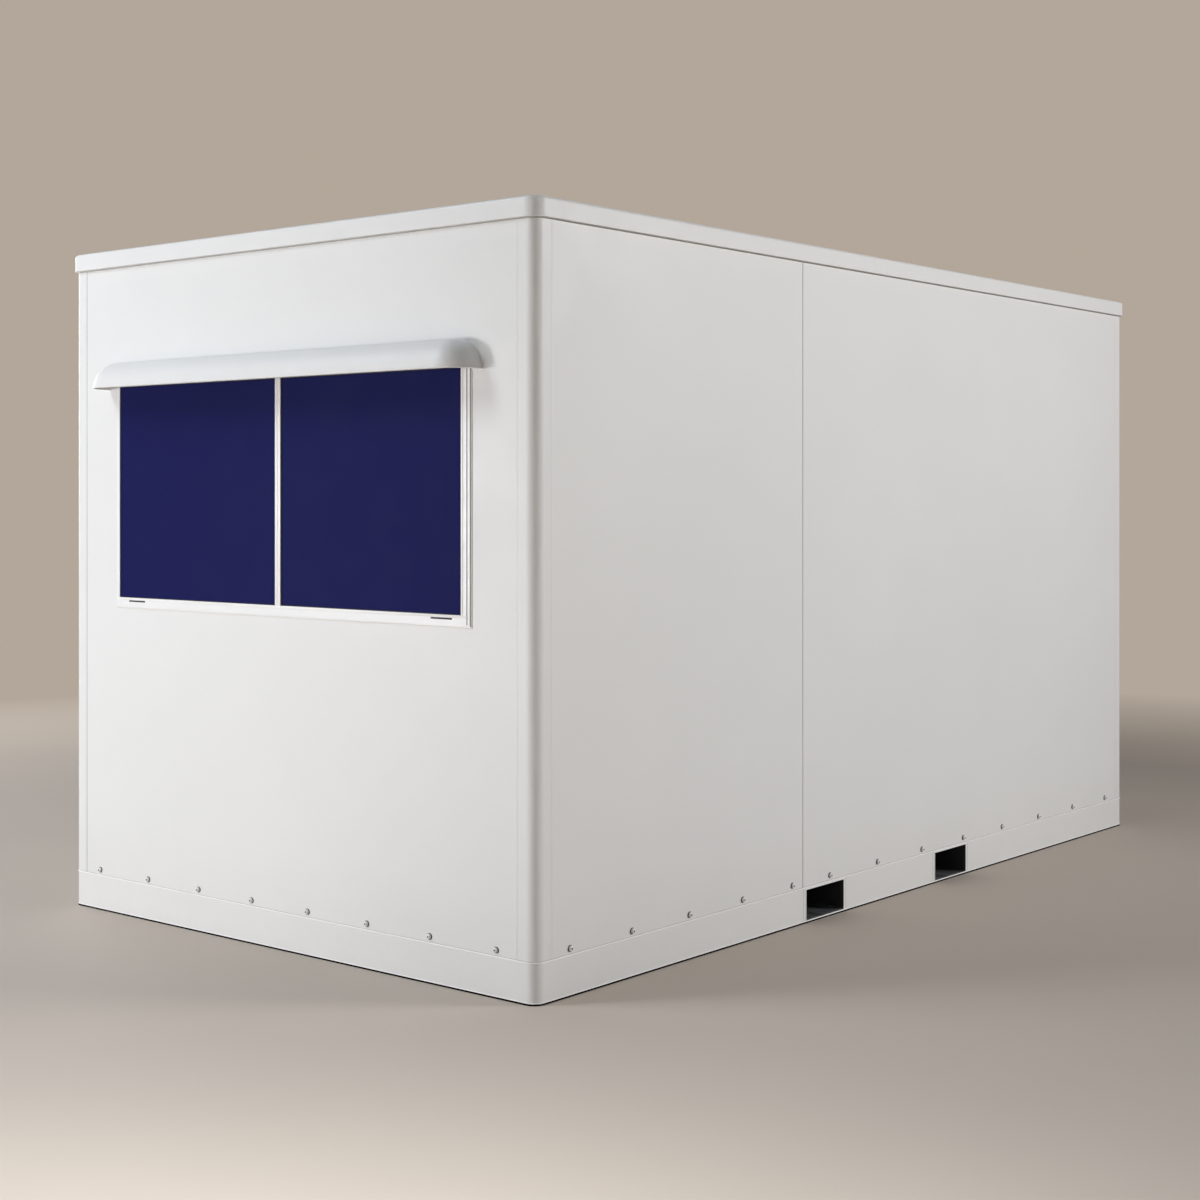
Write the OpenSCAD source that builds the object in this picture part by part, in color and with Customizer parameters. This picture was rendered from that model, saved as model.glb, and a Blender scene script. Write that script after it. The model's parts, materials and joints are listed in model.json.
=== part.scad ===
// Security guard booth: a one-room glass-fibre cabin on a steel skid.
// +Z is up. The origin is on the ground under the middle of the plan.
// The window ends face -Y and +Y. The plain long side is +X, the door side is -X.

/* [Body] */
// Width of the body over its end walls, along X
body_w = 2180; // [2000:2:2640]
// Length of the body over its long walls, along Y
body_l = 3924; // [3400:2:4720]
// Height from the ground to the top of the roof
total_h = 2305; // [2250:1:2800]
// Outer radius of the upright corners
corner_r = 36; // [28:1:50]
// Thickness of the insulated wall panels
wall_t = 50; // [42:1:60]
// Width of a corner post along each of its two faces
post_leg = 71; // [66:1:100]
// Distance from the window face at -Y to the upright seam of the long sides
seam_from_front = 1370; // [1340:1:1380]
// Width of the seam that shows between two panels
groove_w = 4; // [2:0.5:5]
// Depth of that seam
groove_d = 5; // [3:0.5:6]

/* [Base] */
// Gap under the skirt, by which the skid rails stand lower
ground_gap = 3; // [3:1:10]
// Thickness of the skirt band
skirt_t = 6; // [5:1:8]
// Rounding of the skirt's long edges
skirt_edge_r = 3; // [2:0.5:4]
// Length by which the end skirts return on to the long sides
skirt_return = 95; // [90:1:140]
// Open seam between the skirt and the wall panels
base_gap = 2; // [2:1:5]
// Width of the skid rails
rail_w = 60; // [56:1:80]
// Wall of the skid's box sections
rail_wall = 5; // [4:1:6]
// Width of the cross members
cross_w = 60; // [50:1:80]
// Height of the cross members
cross_h = 80; // [60:1:90]
// Thickness of the floor deck
deck_t = 25; // [20:1:35]

/* [Fork pockets] */
// Clear width of a fork pocket
pocket_w = 236; // [190:1:280]
// Clear height of a fork pocket
pocket_h = 103; // [82:1:118]
// Distance between the middles of the two pockets
pocket_spacing = 875; // [740:1:1050]
// Shift of the pair from the middle of the length, along Y
pocket_shift = -16; // [-40:1:40]
// Height of the skirt band below a pocket's mouth
pocket_sill = 7; // [6:1:14]
// Height of the skirt band above a pocket's mouth
pocket_head = 10; // [10:1:18]
// Wall of the pocket tubes
tube_wall = 5; // [4:1:6]
// Width of the trim frame beside a pocket
pocket_rim = 16; // [12:1:24]

/* [Roof] */
// Height of the roof cap's rim
cap_h = 60; // [50:1:80]
// Overhang of the cap beyond the body
cap_over = 12; // [12:1:20]
// Rounding of the cap's upper edge
cap_edge_r = 11; // [6:1:16]
// Rounding of the cap's lower edge
cap_lip_r = 2; // [1:0.5:4]
// Thickness of the cap's top skin
cap_t = 10; // [6:1:14]
// Height of the soft gasket under the roof
gasket_h = 4; // [3:1:8]
// Depth by which the gasket is set back from the wall face
gasket_inset = 2; // [2:1:8]

/* [Windows] */
// Overall width of a window's outer lip
window_w = 1688; // [1400:2:1760]
// Overall height of a window's outer lip
window_h = 800; // [660:1:850]
// Height of the outer lip's lower edge above the ground
window_z = 1064; // [980:1:1090]
// Width of the thin outer lip
lip_w = 5; // [5:1:12]
// Thickness of the outer lip
lip_t = 2; // [2:0.5:4]
// Distance that the main frame stands out from the wall
frame_proud = 6; // [5:0.5:9]
// Width of the frame beside the glass, lip included
frame_side = 16; // [15:1:24]
// Height of the frame's lower rail and head, lip included
frame_rail = 36; // [28:1:44]
// Overlap of the lip and frame on the wall, round the hole
frame_lap = 10; // [9:1:12]
// Width of the sliding sash's outer stile
stile_w = 24; // [20:1:30]
// Width of the middle stile where the two sashes meet
interlock_w = 26; // [22:1:34]
// Width of the glazing bead on the fixed side
bead_w = 6; // [4:1:10]
// Setback of the stiles from the wall's inner face
stile_back = 5; // [1:1:12]
// Thickness of a pane
pane_t = 6; // [4:1:8]
// Distance of the pane's face in front of the wall's face
pane_proud = 2; // [0:0.5:3]

/* [Window hoods] */
// Distance by which a hood passes the window's lip at each side
hood_side = 39; // [20:1:60]
// Height of a hood, which is also its rounding
hood_r = 90; // [76:1:108]
// Flat top of a hood between the wall and its rounding
hood_flat = 25; // [15:1:40]
// Height by which the window's lip reaches up behind a hood
hood_lap = 44; // [36:1:52]
// Wall of the moulded hood
hood_t = 5; // [4:1:7]

/* [Door] */
// Width of the doorway in the wall
doorway_w = 940; // [800:2:1020]
// Height of the doorway above the skid
doorway_h = 2030; // [1700:1:2040]
// Distance from the window face at -Y to the doorway
door_from_front = 250; // [180:1:300]
// Width of the door frame's jambs and head
jamb_w = 40; // [34:1:50]
// Height of the threshold
threshold_h = 30; // [28:1:45]
// Thickness of the stop that the leaf shuts against
stop_t = 6; // [5:1:10]
// Running gap round the door leaf
leaf_gap = 4; // [3:1:6]
// Width of that stop
stop_w = 15; // [10:1:20]
// Height of the latch above the ground
latch_z = 1080; // [950:1:1200]
// Width of the latch plate
latch_w = 110; // [100:1:140]
// Height of the latch plate
latch_h = 150; // [130:1:170]
// Distance from the latch plate to the edge of the leaf
latch_edge = 45; // [30:1:60]
// Rim of the latch plate beside its dish
latch_rim = 15; // [12:1:20]
// Rim of the latch plate above and below its dish
latch_brow = 20; // [15:1:25]
// Depth of the dish
dish_d = 16; // [12:1:20]
// Thickness of the latch and hinge plates
plate_t = 3; // [2:0.5:4]
// Radius of a hinge barrel
hinge_r = 5.5; // [4:0.5:6]
// Length of a hinge
hinge_len = 90; // [70:1:110]
// Width of each leaf of a hinge
hinge_w = 32; // [25:1:40]
// Distance of the outer hinges from the ends of the door leaf
hinge_end = 232; // [150:1:300]

/* [Hidden] */
$fn = 96;

white = [0.90, 0.90, 0.89];
frame_white = [0.93, 0.93, 0.94];
navy = [0.03, 0.03, 0.12];
steel = [0.12, 0.13, 0.14];
plywood = [0.55, 0.42, 0.28];
rubber = [0.42, 0.41, 0.40];
zinc = [0.62, 0.63, 0.64];

// A little more than nothing, so that a cutting shape passes a face it has to clear.
past = 1;

skirt_h = pocket_sill + pocket_h + pocket_head;
skirt_top = ground_gap + skirt_h;
wall_z = skirt_top + base_gap;
roof_z = total_h - cap_h;
wall_top = roof_z - gasket_h;
wall_h = wall_top - wall_z;
half_w = body_w / 2;
half_l = body_l / 2;
in_w = body_w - 2 * wall_t;
in_l = body_l - 2 * wall_t;
inner_r = corner_r - skirt_t;
arc_x = half_w - corner_r;
rail_x = half_w - skirt_t - rail_w / 2;
beam_y = half_l - skirt_t - rail_w / 2;
rail_end = beam_y - rail_w / 2;

pocket_z = ground_gap + pocket_sill;
tube_w = pocket_w + 2 * tube_wall;
tube_h = pocket_h + 2 * tube_wall;
tube_l = body_w - 2 * skirt_t;
rim_w = pocket_w + 2 * pocket_rim;
front_pocket_y = pocket_shift - pocket_spacing / 2;
rear_pocket_y = pocket_shift + pocket_spacing / 2;

seam_y = seam_from_front - half_l;
door_y0 = door_from_front - half_l;
door_y1 = door_y0 + doorway_w;
doorway_top = wall_z + doorway_h;
leaf_z0 = wall_z + threshold_h + leaf_gap;
leaf_h = doorway_top - jamb_w - leaf_gap - leaf_z0;
leaf_w = doorway_w - 2 * jamb_w - 2 * leaf_gap;
leaf_y0 = door_y0 + jamb_w + leaf_gap;
leaf_t = wall_t - stop_t;
dish_w = latch_w - 2 * latch_rim;
dish_h = latch_h - 2 * latch_brow;
latch_y = leaf_y0 + leaf_w - latch_w / 2 - latch_edge;

hole_w = window_w - 2 * frame_lap;
hole_h = window_h - 2 * frame_lap;
hole_z = window_z + frame_lap;
glass_w = window_w - 2 * frame_side;
glass_h = window_h - 2 * frame_rail;
glass_z = window_z + frame_rail;
hood_w = window_w + 2 * hood_side;
hood_z = window_z + window_h - hood_lap;

// ---------- shapes used by several pieces ----------

// Plan of a rectangle with round corners.
module round_rect(w, l, r) {
  square([w - 2 * r, l], center = true);
  square([w, l - 2 * r], center = true);
  for (x = [-1, 1], y = [-1, 1])
    translate([x * (w / 2 - r), y * (l / 2 - r)]) circle(r);
}

// Upright slab from z = 0 to h with round corners in plan.
module round_slab(w, l, r, h) {
  linear_extrude(h) round_rect(w, l, r);
}

// Half of a band's section, from the axis out to x = w, with its outer edges rounded.
module edge_section(w, h, top_r, low_r) {
  difference() {
    square([w, h]);
    translate([w - top_r, h - top_r]) square(top_r + past);
    if (low_r > 0) translate([w - low_r, -past]) square([low_r + past, low_r + past]);
  }
  translate([w - top_r, h - top_r]) circle(top_r);
  if (low_r > 0) translate([w - low_r, low_r]) circle(low_r);
}

// Straight prism of that section, both halves, running along Y.
module edge_prism(w, len, h, top_r, low_r) {
  rotate([90, 0, 0]) translate([0, 0, -len / 2]) linear_extrude(len) {
    edge_section(w / 2, h, top_r, low_r);
    mirror([1, 0]) edge_section(w / 2, h, top_r, low_r);
  }
}

// Slab with round corners in plan and rounded outer edges, from z = 0 to h.
module soft_slab(w, l, r, h, top_r, low_r) {
  edge_prism(w, l - 2 * r, h, top_r, low_r);
  rotate([0, 0, 90]) edge_prism(l, w - 2 * r, h, top_r, low_r);
  for (x = [0, 1], y = [0, 1])
    mirror([x, 0, 0]) mirror([0, y, 0]) translate([w / 2 - r, l / 2 - r, 0])
      rotate_extrude(angle = 90) edge_section(r, h, top_r, low_r);
}

// Closed box section running along Y, centred on x = 0, standing on z = 0.
module box_section(w, h, len, wall) {
  rotate([90, 0, 0]) translate([0, 0, -len / 2]) linear_extrude(len) difference() {
    translate([-w / 2, 0]) square([w, h]);
    translate([-w / 2 + wall, wall]) square([w - 2 * wall, h - 2 * wall]);
  }
}

// Upright ring in the plane of a window, outer face at y = y0, from z = 0 up.
module upright_ring(w, h, depth, y0, side, rail) {
  translate([-w / 2, y0, 0]) difference() {
    cube([w, depth, h]);
    translate([side, -past, rail]) cube([w - 2 * side, depth + 2 * past, h - 2 * rail]);
  }
}

// Panel of a long wall from y0 to y1, outer face at x = half_w, with a seam at chosen ends.
module side_panel(y0, y1, z0, z1, seam0, seam1) {
  difference() {
    translate([half_w - wall_t, y0, z0]) cube([wall_t, y1 - y0, z1 - z0]);
    if (seam0)
      translate([half_w - groove_d, y0 - past, z0 - past])
        cube([groove_d + past, groove_w / 2 + past, z1 - z0 + 2 * past]);
    if (seam1)
      translate([half_w - groove_d, y1 - groove_w / 2, z0 - past])
        cube([groove_d + past, groove_w / 2 + past, z1 - z0 + 2 * past]);
  }
}

// Puts a piece made for the right-hand long side on the left-hand one.
module on_left() {
  mirror([1, 0, 0]) children();
}

// Puts a piece made for the window end at -Y on the end at +Y.
module on_back() {
  rotate([0, 0, 180]) children();
}

// ---------- base ----------

// The skirt band as one ring round the whole base.
module skirt_ring() {
  difference() {
    translate([0, 0, ground_gap])
      soft_slab(body_w, body_l, corner_r, skirt_h, skirt_edge_r, skirt_edge_r);
    round_slab(body_w - 2 * skirt_t, body_l - 2 * skirt_t, inner_r, skirt_top + past);
  }
}

// The end band, with its two returns round the corners.
module end_skirt() {
  color(white) intersection() {
    skirt_ring();
    translate([-half_w - past, -half_l - past, 0])
      cube([body_w + 2 * past, skirt_return + past, skirt_top + past]);
  }
}

// A straight length of the band on the right-hand side, from y0 to y1.
module skirt_length(y0, y1) {
  translate([0, (y0 + y1) / 2, ground_gap]) intersection() {
    edge_prism(body_w, y1 - y0, skirt_h, skirt_edge_r, skirt_edge_r);
    translate([half_w - skirt_t, (y0 - y1) / 2, 0]) cube([skirt_t, y1 - y0, skirt_h]);
  }
}

module side_skirt() {
  ends = [skirt_return - half_l, front_pocket_y - rim_w / 2,
          front_pocket_y + rim_w / 2, rear_pocket_y - rim_w / 2,
          rear_pocket_y + rim_w / 2, half_l - skirt_return];
  color(white) for (i = [0 : 2 : 4]) skirt_length(ends[i], ends[i + 1]);
}

// Trim frame round the mouth of a fork pocket, in line with the skirt.
module pocket_frame(y) {
  color(white) difference() {
    skirt_length(y - rim_w / 2, y + rim_w / 2);
    translate([half_w - skirt_t - past, y - pocket_w / 2, pocket_z])
      cube([skirt_t + 2 * past, pocket_w, pocket_h]);
  }
}

// Tube through the skid that takes a lift truck's fork.
module fork_tube(y) {
  color(steel) translate([0, y, pocket_z - tube_wall])
    rotate([0, 0, 90]) box_section(tube_w, tube_h, tube_l, tube_wall);
}

// Long rail of the skid in three lengths, between the end beams and the fork tubes.
module skid_rail() {
  ends = [-rail_end, front_pocket_y - tube_w / 2,
          front_pocket_y + tube_w / 2, rear_pocket_y - tube_w / 2,
          rear_pocket_y + tube_w / 2, rail_end];
  color(steel) for (i = [0 : 2 : 4])
    translate([rail_x, (ends[i] + ends[i + 1]) / 2, 0])
      box_section(rail_w, wall_z, ends[i + 1] - ends[i], rail_wall);
}

// End beam of the skid at -Y.
module skid_beam() {
  color(steel) translate([0, -beam_y, 0])
    rotate([0, 0, 90]) box_section(rail_w, wall_z, 2 * arc_x, rail_wall);
}

// Cross members: two before the front tube, one between the tubes, two behind the rear one.
module cross_members() {
  front_bay = front_pocket_y - tube_w / 2 + rail_end;
  rear_bay = rail_end - rear_pocket_y - tube_w / 2;
  places = [-rail_end + front_bay / 3, -rail_end + 2 * front_bay / 3, pocket_shift,
            rail_end - 2 * rear_bay / 3, rail_end - rear_bay / 3];
  color(steel) for (y = places)
    translate([0, y, wall_z - cross_h]) rotate([0, 0, 90])
      box_section(cross_w, cross_h, 2 * rail_x - rail_w, rail_wall);
}

module floor_deck() {
  color(plywood) translate([-in_w / 2, -in_l / 2, wall_z]) cube([in_w, in_l, deck_t]);
}

// ---------- posts and walls ----------

// Plan of a corner post's angle, with its sharp corner at the origin and its legs on -X and +Y.
module post_plan() {
  difference() {
    translate([-post_leg, 0]) square(post_leg);
    translate([-post_leg - past, wall_t])
      square([post_leg - wall_t + past, post_leg - wall_t + past]);
    translate([-corner_r, -past]) square([corner_r + past, corner_r + past]);
  }
  intersection() {
    translate([-corner_r, corner_r]) circle(corner_r);
    translate([-corner_r, 0]) square(corner_r);
    union() {
      translate([-corner_r, 0]) square([corner_r, wall_t]);
      translate([-wall_t, 0]) square([wall_t, corner_r]);
    }
  }
}

// Corner post at +X, -Y: a rounded angle on a foot that fills the skid's corner.
module corner_post() {
  color(white) translate([half_w, -half_l, wall_z]) linear_extrude(wall_h) post_plan();
  color(white) translate([0, 0, ground_gap]) linear_extrude(wall_z - ground_gap) intersection() {
    round_rect(body_w - 2 * skirt_t, body_l - 2 * skirt_t, inner_r);
    translate([arc_x, -half_l]) square([corner_r, half_l - rail_end]);
  }
}

// Wall of a window end, with the hole for the window cut through it.
module end_wall() {
  w = body_w - 2 * post_leg;
  color(white) difference() {
    translate([-w / 2, -half_l, wall_z]) cube([w, wall_t, wall_h]);
    translate([-hole_w / 2, -half_l - past, hole_z]) cube([hole_w, wall_t + 2 * past, hole_h]);
    for (x = [-1, 1])
      translate([x * w / 2 - groove_w / 2, -half_l - past, wall_z - past])
        cube([groove_w, groove_d + past, wall_h + 2 * past]);
  }
}

module front_side_wall() {
  color(white) side_panel(post_leg - half_l, seam_y, wall_z, wall_top, true, true);
}

module rear_side_wall() {
  color(white) side_panel(seam_y, half_l - post_leg, wall_z, wall_top, true, true);
}

// ---------- door, made on the right-hand side and mirrored ----------

module door_frame() {
  color(frame_white) translate([half_w - wall_t, door_y0, wall_z]) difference() {
    cube([wall_t, doorway_w, doorway_h]);
    translate([wall_t - leaf_t, jamb_w, threshold_h])
      cube([leaf_t + past, doorway_w - 2 * jamb_w, doorway_h - jamb_w - threshold_h]);
    translate([-past, jamb_w + stop_w, threshold_h + leaf_gap])
      cube([wall_t, doorway_w - 2 * jamb_w - 2 * stop_w,
            doorway_h - jamb_w - threshold_h - leaf_gap - stop_w]);
  }
}

module door_leaf() {
  color(white) difference() {
    translate([half_w - leaf_t, leaf_y0, leaf_z0]) cube([leaf_t, leaf_w, leaf_h]);
    translate([half_w - dish_d, latch_y - dish_w / 2, latch_z - dish_h / 2])
      cube([dish_d + past, dish_w, dish_h]);
  }
}

// Flush pull: a plate with a dish behind it and a lever across the dish.
module door_latch() {
  skin = 2;
  lever = [6, 22, dish_h - 2 * skin];
  color(zinc) difference() {
    union() {
      translate([half_w, latch_y - latch_w / 2, latch_z - latch_h / 2])
        cube([plate_t, latch_w, latch_h]);
      translate([half_w - dish_d, latch_y - dish_w / 2, latch_z - dish_h / 2])
        cube([dish_d, dish_w, dish_h]);
    }
    translate([half_w - dish_d + skin, latch_y - dish_w / 2 + skin, latch_z - dish_h / 2 + skin])
      cube([dish_d + plate_t, dish_w - 2 * skin, dish_h - 2 * skin]);
  }
  color(zinc) translate([half_w - lever[0], latch_y - lever[1] / 2, latch_z - lever[2] / 2])
    cube(lever);
}

// Three butt hinges on the jamb nearer the window face.
module door_hinges() {
  gap_y = leaf_y0 - leaf_gap / 2;
  heights = [hinge_end, leaf_h / 2, leaf_h - hinge_end];
  color(zinc) for (h = heights)
    translate([half_w, gap_y, leaf_z0 + h - hinge_len / 2]) {
      translate([0, -hinge_w, 0]) cube([plate_t, 2 * hinge_w, hinge_len]);
      translate([hinge_r, 0, 0]) cylinder(r = hinge_r, h = hinge_len);
    }
}

// ---------- windows, made for the end at -Y ----------

module window_frame() {
  color(frame_white) translate([0, -half_l, 0]) {
    translate([0, 0, window_z])
      upright_ring(window_w, window_h, lip_t, -lip_t, frame_side, frame_rail);
    translate([0, 0, window_z + lip_w])
      upright_ring(window_w - 2 * lip_w, window_h - 2 * lip_w, frame_proud, -frame_proud,
                   frame_side - lip_w, frame_rail - lip_w);
    translate([0, 0, hole_z])
      upright_ring(hole_w, hole_h, wall_t, 0, frame_side - frame_lap, frame_rail - frame_lap);
  }
}

// Bead, middle stile and sash stile, upright in the opening of the frame.
module window_stiles() {
  depth = frame_proud + wall_t - stile_back;
  places = [[-glass_w / 2, bead_w], [-interlock_w / 2, interlock_w],
            [glass_w / 2 - stile_w, stile_w]];
  color(frame_white) for (p = places)
    translate([p[0], -half_l - frame_proud, glass_z]) cube([p[1], depth, glass_h]);
}

// The two panes, one on each side of the middle stile.
module window_panes() {
  spans = [[-glass_w / 2 + bead_w, -interlock_w / 2],
           [interlock_w / 2, glass_w / 2 - stile_w]];
  color(navy) for (s = spans)
    translate([s[0], -half_l - pane_proud, glass_z]) cube([s[1] - s[0], pane_t, glass_h]);
}

// Rounded bar along X with rounding r and half width half_len, backed by a flat as deep as hood_flat.
module hood_form(r, half_len) {
  end_x = half_len - r;
  translate([-end_x, -hood_flat, 0]) rotate([0, 90, 0]) cylinder(r = r, h = 2 * end_x);
  translate([-end_x, -hood_flat, -r]) cube([2 * end_x, hood_flat + past, 2 * r]);
  for (x = [-1, 1]) translate([x * end_x, -hood_flat, 0]) {
    sphere(r);
    rotate([-90, 0, 0]) cylinder(r = r, h = hood_flat + past);
  }
}

// Moulded hood over a window: a shell open below and against the wall.
module hood() {
  color(white) translate([0, -half_l, hood_z]) intersection() {
    difference() {
      hood_form(hood_r, hood_w / 2);
      hood_form(hood_r - hood_t, hood_w / 2 - hood_t);
    }
    translate([-hood_w / 2, -hood_flat - hood_r, 0]) cube([hood_w, hood_flat + hood_r, hood_r]);
  }
}

// ---------- roof ----------

module roof_gasket() {
  color(rubber) translate([0, 0, wall_top]) linear_extrude(gasket_h) difference() {
    round_rect(body_w - 2 * gasket_inset, body_l - 2 * gasket_inset, corner_r - gasket_inset);
    square([in_w, in_l], center = true);
  }
}

// Insulated slab of the roof, whose underside is the ceiling.
module roof_panel() {
  color(white) translate([0, 0, roof_z])
    round_slab(body_w, body_l, corner_r, cap_h - cap_t);
}

// Moulded cap: a top skin with a rim turned down all round.
module roof_cap() {
  color(white) translate([0, 0, roof_z]) difference() {
    soft_slab(body_w + 2 * cap_over, body_l + 2 * cap_over, corner_r + cap_over,
              cap_h, cap_edge_r, cap_lip_r);
    translate([0, 0, -past]) round_slab(body_w, body_l, corner_r, cap_h - cap_t + past);
  }
}

// ---------- the nodes ----------

end_skirt();  // skirt_front
on_back() end_skirt();  // skirt_back
side_skirt();  // skirt_right
on_left() side_skirt();  // skirt_left
pocket_frame(front_pocket_y);  // pocket_frame_right_front
pocket_frame(rear_pocket_y);  // pocket_frame_right_rear
on_left() pocket_frame(front_pocket_y);  // pocket_frame_left_front
on_left() pocket_frame(rear_pocket_y);  // pocket_frame_left_rear
fork_tube(front_pocket_y);  // fork_tube_front
fork_tube(rear_pocket_y);  // fork_tube_rear
skid_rail();  // skid_rail_right
on_left() skid_rail();  // skid_rail_left
skid_beam();  // skid_beam_front
on_back() skid_beam();  // skid_beam_back
cross_members();
floor_deck();
corner_post();  // corner_post_front_right
on_left() corner_post();  // corner_post_front_left
mirror([0, 1, 0]) corner_post();  // corner_post_back_right
on_back() corner_post();  // corner_post_back_left
end_wall();  // front_wall
on_back() end_wall();  // back_wall
front_side_wall();  // right_wall_front
rear_side_wall();  // right_wall_rear
on_left() color(white) side_panel(post_leg - half_l, door_y0, wall_z, wall_top, true, false);  // left_wall_front
on_left() color(white) side_panel(door_y0, door_y1, doorway_top, wall_top, false, false);  // left_wall_over_door
on_left() color(white) side_panel(door_y1, seam_y, wall_z, wall_top, false, true);  // left_wall_middle
on_left() rear_side_wall();  // left_wall_rear
on_left() door_frame();
on_left() door_leaf();
on_left() door_hinges();
on_left() door_latch();
window_frame();  // front_window_frame
window_stiles();  // front_window_stiles
window_panes();  // front_window_panes
hood();  // front_hood
on_back() window_frame();  // back_window_frame
on_back() window_stiles();  // back_window_stiles
on_back() window_panes();  // back_window_panes
on_back() hood();  // back_hood
roof_gasket();
roof_panel();
roof_cap();
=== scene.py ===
"""Looks of the security guard booth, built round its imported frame.

Sizes are in metres unless a comment says mm. +Z is up, the window ends face -Y and +Y, and the door
side is -X. The trim of windows, hoods, fork pockets and door is made facing -Y and turned into place.
"""

import json
from math import pi, radians

import bmesh
import bpy
from mathutils import Matrix, Vector


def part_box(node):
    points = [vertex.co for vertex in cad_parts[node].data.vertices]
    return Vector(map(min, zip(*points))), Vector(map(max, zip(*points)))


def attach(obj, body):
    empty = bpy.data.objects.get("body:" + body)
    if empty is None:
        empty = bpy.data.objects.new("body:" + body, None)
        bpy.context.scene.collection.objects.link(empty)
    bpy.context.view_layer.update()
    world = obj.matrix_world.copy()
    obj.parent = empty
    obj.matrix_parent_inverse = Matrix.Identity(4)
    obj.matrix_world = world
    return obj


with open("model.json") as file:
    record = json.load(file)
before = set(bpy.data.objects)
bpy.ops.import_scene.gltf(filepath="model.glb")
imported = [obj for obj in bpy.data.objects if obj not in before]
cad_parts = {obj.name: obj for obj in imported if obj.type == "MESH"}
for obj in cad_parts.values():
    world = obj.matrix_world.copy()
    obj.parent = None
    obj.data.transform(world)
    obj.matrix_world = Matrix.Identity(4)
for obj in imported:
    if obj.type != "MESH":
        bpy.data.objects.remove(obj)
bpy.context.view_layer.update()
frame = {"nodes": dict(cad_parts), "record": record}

MM = 0.001
SMOOTH_UNDER = radians(40)
FRONT_END = Matrix.Identity(4)
BACK_END = Matrix.Rotation(pi, 4, "Z")
RIGHT_SIDE = Matrix.Rotation(pi / 2, 4, "Z")
LEFT_SIDE = Matrix.Rotation(-pi / 2, 4, "Z")

# ---------- places read from the frame ----------

SIDE_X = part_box("right_wall_front")[1].x
END_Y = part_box("front_wall")[0].y
WALL_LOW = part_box("front_wall")[0].z
WALL_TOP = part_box("front_wall")[1].z
PANEL_SEAM_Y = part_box("right_wall_rear")[0].y
SKIRT_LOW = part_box("skirt_right")[0].z
SKIRT_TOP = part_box("skirt_right")[1].z
LIP_LOW, LIP_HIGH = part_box("front_window_frame")
PANE_LOW, PANE_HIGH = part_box("front_window_panes")
STILE_LOW, STILE_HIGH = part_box("front_window_stiles")
HOOD_LOW, HOOD_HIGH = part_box("front_hood")
LEAF_LOW, LEAF_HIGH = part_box("door_leaf")
DOOR_LOW, DOOR_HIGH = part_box("door_frame")

# ---------- sizes shared with the part's source ----------

CORNER_R = 36 * MM
POST_LEG = 71 * MM
INTERLOCK_W = 26 * MM
HOOD_R = 90 * MM
HINGE_R = 5.5 * MM
HINGE_PLATE = 3 * MM
HINGE_END = 232 * MM
CROSS_HALF = 30 * MM
CROSS_Y = (-1455.5 * MM, -1015 * MM, -16 * MM, 993.7 * MM, 1444.8 * MM)
POCKET_W = 236 * MM
POCKET_LOW = 10 * MM
POCKET_HIGH = 113 * MM
POCKET_RIM = 16 * MM
POCKETS_Y = (-453.5 * MM, 421.5 * MM)


# ---------- materials ----------

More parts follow.
